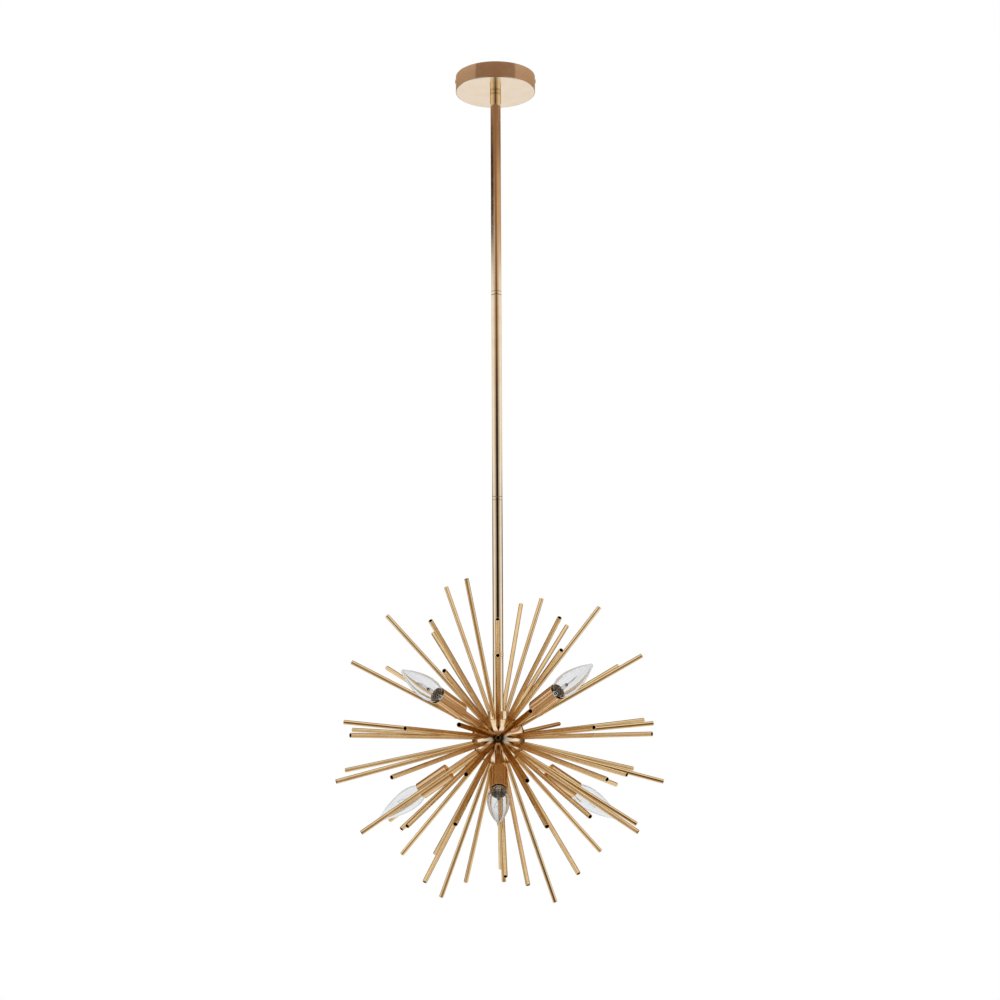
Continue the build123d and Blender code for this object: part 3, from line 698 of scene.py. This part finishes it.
def seat_radius(elevation):
    """Where a tube starts, counted from the centre of the ball: just under the surface that it stands on."""
    if elevation <= 0:
        return TUBE_SEAT
    rise, run = sin(radians(elevation)), cos(radians(elevation))
    under_lid = (LID_TOP - TUBE_RADIUS * run) / rise
    inside_neck = (NECK_RADIUS - TUBE_RADIUS * rise) / run
    return min(TUBE_SEAT, max(under_lid, inside_neck))


def cut_to_length(mesh, start, tip):
    for vertex in mesh.vertices:
        if vertex.co.z < (TUBE_SEAT + 1) * MM:
            vertex.co.z = start * MM
        elif vertex.co.z > (TUBE_REACH - 1) * MM:
            vertex.co.z += (tip - TUBE_REACH) * MM


tube_pattern = make_tube_pattern()

# %% All bands of tubes
for band_name, band in BANDS.items():
    spikes = []
    for azimuth, elevation, *reach in band:
        spike = placed_copy(tube_pattern, "spike", Matrix())
        cut_to_length(spike.data, seat_radius(elevation), reach[0] if reach else TUBE_REACH)
        spike.data.transform(outward(azimuth, elevation, roll=37 * len(spikes)))
        spikes.append(spike)
    dress(joined(f"{band_name}_polished", spikes), tube_gold, "hanging_lamp", "gold", band_name)
throw_away(tube_pattern)

# %% [markdown]
# ## Lamp holders
# Each lamp stands on a stouter pipe. Its holder is a drawn cup: the closed end has a soft corner, and the
# mouth has a thin rolled lip. A tube with a disc at its end would show a hard seam there, so the cup is one
# outline. Inside are a black socket with a threaded brass shell and a contact, which show round the bulb.

# %% Arm and holder patterns
def make_arm_pattern():
    r, bore, foot, end = ARM_RADIUS, ARM_BORE, TUBE_SEAT, SOCKET_BACK
    outline = [(bore, foot), (r, foot), (r, 60), (r, 87), (r, end - 0.6), (r, end - 0.3)]
    outline += [(r - 0.3, end), (bore, end)]
    return turned("arm_pattern", outline, steps=40)


def make_holder_pattern():
    r, wall, back, mouth = HOLDER_RADIUS, HOLDER_WALL, HOLDER_BACK, HOLDER_MOUTH
    outline = [(ARM_RADIUS + 0.02, back), (r - 1.1, back)] + arc((r - 1.1, back + 1.1), 1.1, -75, 0, 6)
    outline += [(r, back + 1.7), (r, back + 26), (r, mouth - 0.8)]
    outline += arc((r - 0.3, mouth - 0.3), 0.3, 0, 180, 7)
    outline += [(r - wall, mouth - 1.0), (r - wall, mouth - 20), (r - wall, back + 2.2)]
    outline += [(r - wall - 1, back + 1.2), (ARM_RADIUS + 0.02, back + 1.2)]
    return turned("holder_pattern", outline, steps=64)


arm_pattern = make_arm_pattern()
holder_pattern = make_holder_pattern()

# %% Socket, shell and contact patterns
def make_socket_pattern():
    outline = [(1.52, SOCKET_BACK), (9.6, SOCKET_BACK), (10.3, SOCKET_BACK + 0.7), (10.3, SOCKET_FRONT - 6),
               (9.9, SOCKET_FRONT - 5.6), (9.9, SOCKET_FRONT - 1.0)]
    outline += arc((9.2, SOCKET_FRONT - 0.7), 0.7, 0, 90, 5)
    outline += [(8.0, SOCKET_FRONT), (7.7, SOCKET_FRONT - 0.6), (6.76, SOCKET_FRONT - 0.6), (6.76, 108.9),
                (3.1, 108.9), (1.52, 108.9)]
    return turned("socket_pattern", outline, steps=48)


def make_shell_pattern():
    """Thin brass with rolled ridges of the candelabra thread."""
    back, front, pitch = 109.7, SOCKET_FRONT - 0.4, 2.54
    wave = []
    height = back
    while height + pitch < front:
        wave += [(6.08, height), (6.12, height + 0.5), (6.30, height + 1.0), (6.34, height + 1.27),
                 (6.30, height + 1.54), (6.12, height + 2.04)]
        height += pitch
    wave += [(6.08, height), (6.08, front)]
    outline = wave + [(radius + 0.36, place) for radius, place in reversed(wave)]
    return turned("shell_pattern", outline, steps=48, smooth_under=60)


socket_pattern = make_socket_pattern()
shell_pattern = make_shell_pattern()
contact_pattern = turned("contact_pattern", [(ON_AXIS, 108.95), (2.6, 108.95), (3.0, 109.2), (2.7, 109.6),
                                             (1.4, 109.88), (ON_AXIS, 109.9)], steps=24, closed=False)

# %% Place the holders
for lamp, angles in LAMPS.items():
    holder = placed_copy(holder_pattern, f"holder_cup_{lamp}", outward(*angles))
    dress(holder, holder_gold, "hanging_lamp", "gold", f"holder_{lamp}")


def six(pattern, name, finish, slot, node):
    """The same piece on all lamps, as one object."""
    copies = [placed_copy(pattern, name, outward(*angles)) for angles in LAMPS.values()]
    return dress(joined(name, copies), finish, "hanging_lamp", slot, node)


six(arm_pattern, "lamp_pipes", holder_gold, "gold", "lamp_arms")
six(socket_pattern, "socket_mouldings", socket_black, "black_plastic", "sockets")
six(shell_pattern, "threaded_shells", bare_brass, "bare_brass", "socket_shells")
six(contact_pattern, "contact_buttons", bare_brass, "bare_brass", "socket_contacts")
throw_away(arm_pattern, holder_pattern, socket_pattern, shell_pattern, contact_pattern)

# %% [markdown]
# ## Candle bulbs
# A bulb is blown glass on a screw base. The glass comes out of the narrow neck, is widest a third of the
# way up and ends in a small round tip. A stretched sphere has no neck and a blunt tip, so a few points
# give the outline and a smooth curve goes through them. The wall has an outer and an inner face, so light
# bends in it as in a real bulb. The thread of the base is a true helix, made with the Screw modifier.

# %% Glass envelope
BULB = {"length": 76.0, "radius": 15.5, "neck": 6.2, "tip": 2.6, "tip_angle": 28.0, "glass": 0.8}
BULB_SHARES = [(0.66, 0.0), (0.815, 0.065), (0.945, 0.155), (1.0, 0.28), (0.975, 0.385), (0.855, 0.54),
               (0.66, 0.70), (0.45, 0.83)]


def smooth_through(points, per_span=5):
    """Points of a smooth curve through the given ones, by the Catmull-Rom rule."""
    ends = [points[0]] + points + [points[-1]]
    curve = []
    for a, b, c, d in zip(ends, ends[1:], ends[2:], ends[3:]):
        for step in range(per_span):
            t = step / per_span
            curve.append(tuple(0.5 * (2 * q + (r - p) * t + (2 * p - 5 * q + 4 * r - s) * t ** 2
                                      + (3 * q - p - 3 * r + s) * t ** 3) for p, q, r, s in zip(a, b, c, d)))
    return curve + [points[-1]]


def glass_wall(inset):
    """Outline of the envelope from its neck to its tip, moved in by the inset."""
    size = BULB
    outline = [(size["neck"] - inset, BASE_FRONT)]
    outline += [(size["radius"] * wide - inset, HOLDER_MOUTH + size["length"] * far)
                for wide, far in BULB_SHARES]
    tip_centre = HOLDER_MOUTH + size["length"] - size["tip"]
    tip = arc((0, tip_centre), size["tip"] - inset, size["tip_angle"], 90, 7)
    return smooth_through(outline + tip[:1]) + tip[1:]


outer_wall, inner_wall = glass_wall(0.0), glass_wall(BULB["glass"])
glass_pattern = turned("glass_pattern", outer_wall + inner_wall[::-1] + outer_wall[:1], steps=64,
                       closed=False, smooth_under=50)
print("glass wall of", len(outer_wall), "points outside and", len(inner_wall), "inside")

# %% Screw base
def make_base_pattern():
    root, crest, pitch, turns = 5.5, 5.93, 2.54, 6
    foot = BASE_BACK + 3.4
    thread = draw_edge("base_thread", [(root, foot), (root + 0.12, foot + 0.35), (crest - 0.05, foot + 0.85),
                                       (crest, foot + 1.27), (crest - 0.05, foot + 1.69),
                                       (root + 0.12, foot + 2.19), (root, foot + pitch)])
    bpy.ops.object.mode_set(mode="OBJECT")
    screw = thread.modifiers.new("thread", "SCREW")
    screw.axis = "Z"
    screw.screw_offset = pitch * MM
    screw.iterations = turns - 1
    screw.steps = screw.render_steps = 40
    screw.use_merge_vertices = True
    bpy.ops.object.modifier_apply(modifier=screw.name)
    unroll(thread)
    bpy.ops.object.shade_smooth_by_angle(angle=radians(60))
    core_top = foot + pitch * turns
    outline = [(ON_AXIS, BASE_BACK), (1.6, BASE_BACK), (2.3, BASE_BACK + 0.5), (2.3, BASE_BACK + 0.9)]
    outline += [(3.4, BASE_BACK + 1.2), (5.3, foot), (5.45, foot + 0.2), (5.45, core_top)]
    outline += [(crest, core_top + 0.3), (crest, BASE_FRONT - 0.3), (5.7, BASE_FRONT), (ON_AXIS, BASE_FRONT)]
    core = turned("base_core", outline, steps=40, closed=False)
    return joined("base_pattern", [core, thread])


base_pattern = make_base_pattern()

# %% [markdown]
# Inside the envelope a flared glass stem carries two lead wires. Between their ends hangs the filament: a
# very fine coil, held in the middle by one more wire. The wires are curves with a round section, because
# a curve keeps its thickness round a bend, and they are turned into meshes at the end.

# %% Stem, lead wires and filament
def wire(name, points, thickness):
    """A fine wire along a smooth line, as a mesh."""
    put_down()
    line = bpy.data.curves.new(name, "CURVE")
    line.dimensions = "3D"
    line.bevel_depth = thickness / 2 * MM
    line.bevel_resolution = 2
    line.use_fill_caps = True
    spline = line.splines.new("POLY")
    spline.points.add(len(points) - 1)
    for spot, place in zip(spline.points, points):
        spot.co = (*(c * MM for c in place), 1)
    strand = bpy.data.objects.new(name, line)
    bpy.context.collection.objects.link(strand)
    bpy.context.view_layer.objects.active = strand
    strand.select_set(True)
    bpy.ops.object.convert(target="MESH")
    strand = bpy.context.object
    strand.data.shade_smooth()
    return strand


STEM_REACH = BASE_FRONT + 30.0
COIL_HEIGHT = BASE_FRONT + 45.5
COIL_HALF = 6.5


def make_stem_pattern():
    foot, top = BASE_FRONT + 0.05, STEM_REACH
    outline = [(ON_AXIS, foot), (4.75, foot), (4.8, foot + 0.5), (4.3, foot + 1.4), (3.2, foot + 3.2),
               (2.7, foot + 6.0), (2.55, foot + 12), (2.55, top - 5), (2.3, top - 2.5), (1.7, top - 0.9),
               (0.8, top - 0.15), (ON_AXIS, top)]
    return turned("stem_pattern", outline, steps=32, closed=False, smooth_under=60)


def make_wires_pattern():
    strands = []
    for side in (-1, 1):
        path = [(0.8, STEM_REACH - 6), (0.9, STEM_REACH - 1), (2.6, STEM_REACH + 2.5)]
        path += [(4.9, STEM_REACH + 6.5), (6.1, STEM_REACH + 11), (COIL_HALF, COIL_HEIGHT)]
        strands.append(wire("lead_wire", [(side * out, 0, height) for out, height in path], 0.5))
    prop = [(0, 0.6, STEM_REACH - 4), (0, 0.6, STEM_REACH + 3)]
    prop += [(0, 0.5, COIL_HEIGHT - 2), (0, 0.1, COIL_HEIGHT - 1.4)]
    strands.append(wire("prop_wire", prop, 0.3))
    turns, per_turn, radius = 26, 8, 0.4
    coil = []
    for step in range(turns * per_turn + 1):
        share = step / (turns * per_turn)
        angle = tau * turns * share
        along = 2 * share - 1
        middle = COIL_HEIGHT - 0.45 - (1 - along ** 2)
        coil.append((COIL_HALF * along, radius * cos(angle), middle + radius * sin(angle)))
    strands.append(wire("coil", coil, 0.16))
    return joined("wires_pattern", strands)


stem_pattern = make_stem_pattern()
wires_pattern = make_wires_pattern()
print("filament", 2 * COIL_HALF, "mm wide,", COIL_HEIGHT - BASE_FRONT, "mm above the base")

# %% Place the bulbs
for turn, (lamp, angles) in enumerate(LAMPS.items()):
    way = outward(*angles, roll=25 + 47 * turn)
    body, filament = f"bulb_{lamp}", f"bulb_filament_{lamp}"
    envelope = placed_copy(glass_pattern, f"envelope_{lamp}", way)
    screw_base = placed_copy(base_pattern, f"screw_base_{lamp}", way)
    glass_stem = placed_copy(stem_pattern, f"glass_stem_{lamp}", way)
    wires = placed_copy(wires_pattern, f"wires_{lamp}", way)
    dress(envelope, bulb_glass, body, "clear_glass", f"bulb_glass_{lamp}")
    dress(screw_base, nickel, body, "nickel", f"bulb_base_{lamp}")
    dress(glass_stem, stem_glass, body, "filament", filament)
    dress(wires, filament_wire, body, "filament", filament)
throw_away(glass_pattern, base_pattern, stem_pattern, wires_pattern)

# %% [markdown]
# ## Inside the canopy
# The crossbar, nuts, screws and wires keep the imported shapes, which are right as they are. They only get
# their finishes. The wire nuts are modelled again, with the ribs that give fingers a grip: a cylinder is
# narrowed at its end, and every other side face is set in a little.

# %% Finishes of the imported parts
PACKED = {zinc: ["crossbar", "hanger_nipple", "hanger_nut", "rod_inserts", "rod_nipples", "hub_nipple",
                 "hub_nut", "arm_nuts"],
          green_paint: ["ground_screw"], canopy_gold: ["canopy_screws"], lead_black: ["supply_leads"],
          cord_cream: ["lead_cord", "lamp_wires"], socket_black: ["splice"]}
for finish, nodes in PACKED.items():
    for node in nodes:
        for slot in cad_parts[node].material_slots:
            slot.material = finish
    print(finish.name, "on", ", ".join(nodes))

# %% Ribbed wire nuts
def make_wire_nut():
    """One nut, drawn along +Z with its mouth at zero."""
    sides, radius, length = 24, 5.0 * MM, 16 * MM
    put_down()
    bpy.ops.mesh.primitive_cylinder_add(vertices=sides, radius=radius, depth=length,
                                        location=(0, 0, length / 2))
    nut = bpy.context.object
    bpy.ops.object.transform_apply(location=True)
    bpy.ops.object.mode_set(mode="EDIT")
    bpy.ops.mesh.select_all(action="DESELECT")
    bpy.ops.object.mode_set(mode="OBJECT")
    for face in nut.data.polygons:
        face.select = face.normal.z > 0.9
    bpy.ops.object.mode_set(mode="EDIT")
    bpy.ops.transform.resize(value=(0.7, 0.7, 1), center_override=(0, 0, length))
    bpy.ops.mesh.inset(thickness=0.6 * MM)
    bpy.ops.transform.translate(value=(0, 0, -0.3 * MM))
    bpy.ops.mesh.select_all(action="DESELECT")
    bpy.ops.object.mode_set(mode="OBJECT")
    for face in nut.data.polygons:
        around = round(atan2(face.center.y, face.center.x) / tau * sides - 0.5)
        face.select = abs(face.normal.z) < 0.5 and around % 2 == 0
    bpy.ops.object.mode_set(mode="EDIT")
    bpy.ops.mesh.inset(thickness=0.25 * MM, use_individual=True)
    bpy.ops.mesh.extrude_faces_move(TRANSFORM_OT_shrink_fatten={"value": 0.0})
    bpy.ops.transform.shrink_fatten(value=-0.35 * MM)
    bpy.ops.object.mode_set(mode="OBJECT")
    soften = nut.modifiers.new("soft_edges", "BEVEL")
    soften.width = 0.12 * MM
    soften.segments = 2
    bpy.ops.object.modifier_apply(modifier=soften.name)
    bpy.ops.object.shade_smooth_by_angle(angle=radians(40))
    return nut


low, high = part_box("wire_nuts")
nut_pattern = make_wire_nut()
nut_line = Vector(((low[0] + high[0]) / 2, high[1], (low[2] + high[2]) / 2))
nuts = [placed_copy(nut_pattern, "nut", Matrix.Translation(nut_line + Vector((13 * MM * side, 0, 0)))
                    @ Matrix.Rotation(radians(90), 4, "X")) for side in (-1, 0, 1)]
dress(joined("ribbed_wire_nuts", nuts), nut_orange, "ceiling_mount", "wire_nut_plastic", "wire_nuts")
throw_away(nut_pattern)

# %% [markdown]
# ## Studio
# The photograph has a plain white ground all round. The world is white to the camera and through glass, and
# a soft grey light to everything else. Polished metal shows what stands round it, so it needs a room of its
# own: a uniform white one would make it look like plastic. This room is painted by direction. It is white
# to the sides and dark straight ahead, has brown bands above that, a cream ceiling and a dark wall behind
# the lamp. The rod mirrors the bands one above the other, and the dark wall draws the edges of the tubes.

# %% Room that the metal mirrors
def mirrored_room(board):
    """Colour of the room by direction, from the lamp: X to the right, Y to the back and Z up."""
    x, y, z = (board.along(axis, "Generated") for axis in "XYZ")
    ahead = board.maths("MAXIMUM", y * -1, 0.0)

    def step(value, start, end):
        """0 at the start, 1 at the end, and a soft rise between them."""
        return board.node("ShaderNodeMapRange", {"interpolation_type": "SMOOTHSTEP"},
                          {"Value": value, "From Min": start, "From Max": end})

    # The dark space straight ahead, round the camera
    core = board.blend(step(z, 0.205, 0.245), (0.02, 0.01, 0.005), (0.21, 0.105, 0.035))
    fading = board.blend(board.maths("POWER", ahead, 1.7) * 0.82, (1.0, 1.0, 1.0), core)
    front = board.blend(step(ahead, 0.86, 0.95), fading, core)
    # Brown bands above it
    sides = board.blend(step(z, 0.365, 0.385), (0.27, 0.14, 0.08), (0.54, 0.38, 0.25))
    upper = board.blend(step(ahead, 0.44, 0.50), sides, (0.28, 0.155, 0.085))
    room = board.blend(step(z, 0.285, 0.34), front, upper)
    # A tan panel on the right and a dark one on the left
    right = step(x, 0.1, 0.5) * step(z, 0.355, 0.33) * step(z, 0.27, 0.30)
    room = board.blend(right, room, (0.62, 0.42, 0.26))
    left = step(x, 0.1, -0.1) * step(y, -0.62, -0.45) * step(z, 0.27, 0.31) * step(z, 0.37, 0.35)
    room = board.blend(left, room, (0.05, 0.03, 0.015))
    # Cream ceiling, and the dark wall behind the lamp
    room = board.blend(step(z, 0.42, 0.60), room, (0.95, 0.91, 0.84))
    behind = step(z, 0.19, 0.12) * step(z, -0.34, -0.22) + step(z, 0.44, 0.56)
    return board.blend(behind * step(y, 0.1, 0.42) * 0.92, room, (0.13, 0.07, 0.03))


# %% World
def make_world():
    world = bpy.data.worlds.new("studio")
    bpy.context.scene.world = world
    world.use_nodes = True
    world.node_tree.nodes.clear()
    board = Board(world.node_tree)
    light = board.node("ShaderNodeBackground", {}, {"Color": (0.95, 0.93, 0.90, 1), "Strength": 0.42})
    mirror = board.node("ShaderNodeBackground", {}, {"Color": mirrored_room(board)})
    white = board.node("ShaderNodeBackground", {}, {"Color": (1, 1, 1, 1)})
    lit = board.node("ShaderNodeMixShader", {}, {0: board.ray("Glossy"), 1: light, 2: mirror})
    seen = board.maths("MAXIMUM", board.ray("Camera"), board.ray("Transmission"))
    surface = board.node("ShaderNodeMixShader", {}, {0: seen, 1: lit, 2: white})
    board.node("ShaderNodeOutputWorld", {}, {"Surface": surface})
    print("world of", len(board.tree.nodes), "nodes")


make_world()

# %% [markdown]
# The floor lies well under the lamp and keeps its faint shadow. It is pale paint to the camera, white
# through glass, and in polished metal it is brown in front and white behind, as the room above it is.

# %% Floor
def make_floor():
    put_down()
    bpy.ops.mesh.primitive_circle_add(vertices=96, radius=2.6, fill_type="NGON", location=(0, 0, -2.05))
    floor = bpy.context.object
    floor.name = "studio_floor"
    f = Finish("floor_paint")
    f.shade(Base_Color=f.ramp(f.cloud(0.8), (0.3, 0.86), (0.7, 0.84)), Roughness=0.9)
    floor.data.materials.append(f.material)
    glossy = f.ray("Glossy")
    near = f.node("ShaderNodeMapRange", {}, {"Value": f.along("Y"), "From Min": 0.3, "From Max": -0.6})
    white = f.node("ShaderNodeEmission")
    brown = f.node("ShaderNodeEmission", {}, {"Color": (0.36, 0.24, 0.13, 1)})
    shown = f.node("ShaderNodeMixShader", {}, {0: near * glossy, 1: white, 2: brown})
    paint = Field(f, f.surface.outputs[0])
    mixed = f.node("ShaderNodeMixShader", {}, {0: glossy + f.ray("Transmission"), 1: paint, 2: shown})
    out = next(n for n in f.tree.nodes if n.type == "OUTPUT_MATERIAL")
    f.feed(out.inputs["Surface"], mixed)
    floor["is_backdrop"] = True


make_floor()

# %% [markdown]
# Three soft lamps light the paint, plastic and glass: a key from the left, a fill from the right and one
# from above. They don't show in metal or through glass, where their square shapes would look like sparks.

# %% Lamps
def softbox(name, place, target, width, height, power):
    light = bpy.data.lights.new(name, "AREA")
    light.shape = "RECTANGLE"
    light.size, light.size_y = width, height
    light.energy = power
    lamp = bpy.data.objects.new(name, light)
    lamp.location = place
    lamp.rotation_euler = (Vector(target) - Vector(place)).to_track_quat("-Z", "Y").to_euler()
    lamp.visible_glossy = False
    lamp.visible_transmission = False
    bpy.context.collection.objects.link(lamp)
    print(name, "lamp of", power, "W")


star = (0, 0, HUB_CENTRE * MM)
softbox("key", (-1.9, -2.6, 0.3), star, 1.0, 1.8, 75)
softbox("fill", (2.3, -2.0, -0.6), star, 0.8, 2.0, 45)
softbox("top", (0.3, -0.6, 1.4), star, 1.6, 1.6, 40)

# %% [markdown]
# ## Camera
# The photograph was taken level with the star, from about 2.4 m, with the camera tipped up so that the
# canopy fits. The lens, tip and roll are worked out from the rod, the canopy and the star.

# %% Camera
FOCAL = 58.68
SENSOR = 36.0
TIP_UP = 8.3
ROLL = -0.28
camera_data = bpy.data.cameras.new("camera")
camera_data.lens = FOCAL
camera_data.sensor_width = SENSOR
camera = bpy.data.objects.new("camera", camera_data)
bpy.context.collection.objects.link(camera)
turned_up = Matrix.Rotation(radians(90 + TIP_UP), 4, "X") @ Matrix.Rotation(radians(ROLL), 4, "Z")
camera.matrix_world = Matrix.Translation((0.0039, -2.365, HUB_CENTRE * MM)) @ turned_up
bpy.context.scene.camera = camera
bpy.context.scene.view_settings.view_transform = "Standard"

# %% [markdown]
# To see whether the camera stands right, the places of a few points in the picture are worked out and
# compared with the photograph. That is quicker than a render, and more exact than the eye.

# %% Where known points land in the picture
def pixel(point):
    """Place of a point in the 1000 by 1000 picture."""
    seen = camera.matrix_world.inverted() @ Vector(point)
    scale = FOCAL / SENSOR * 1000 / -seen.z
    return round(500 + seen.x * scale, 1), round(500 - seen.y * scale, 1)


LANDMARKS = {"foot of the collar": SLEEVE_FOOT, "first joint": FIRST_JOINT, "second joint": SECOND_JOINT,
             "star": HUB_CENTRE}
for label, height in LANDMARKS.items():
    print(label, pixel((0, 0, height * MM)))

# %% [markdown]
# At the end the outer bounds of the dressed model are worked out. No piece may reach past its solid.

# %% Outer bounds of the dressed model
put_down()
low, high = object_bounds()
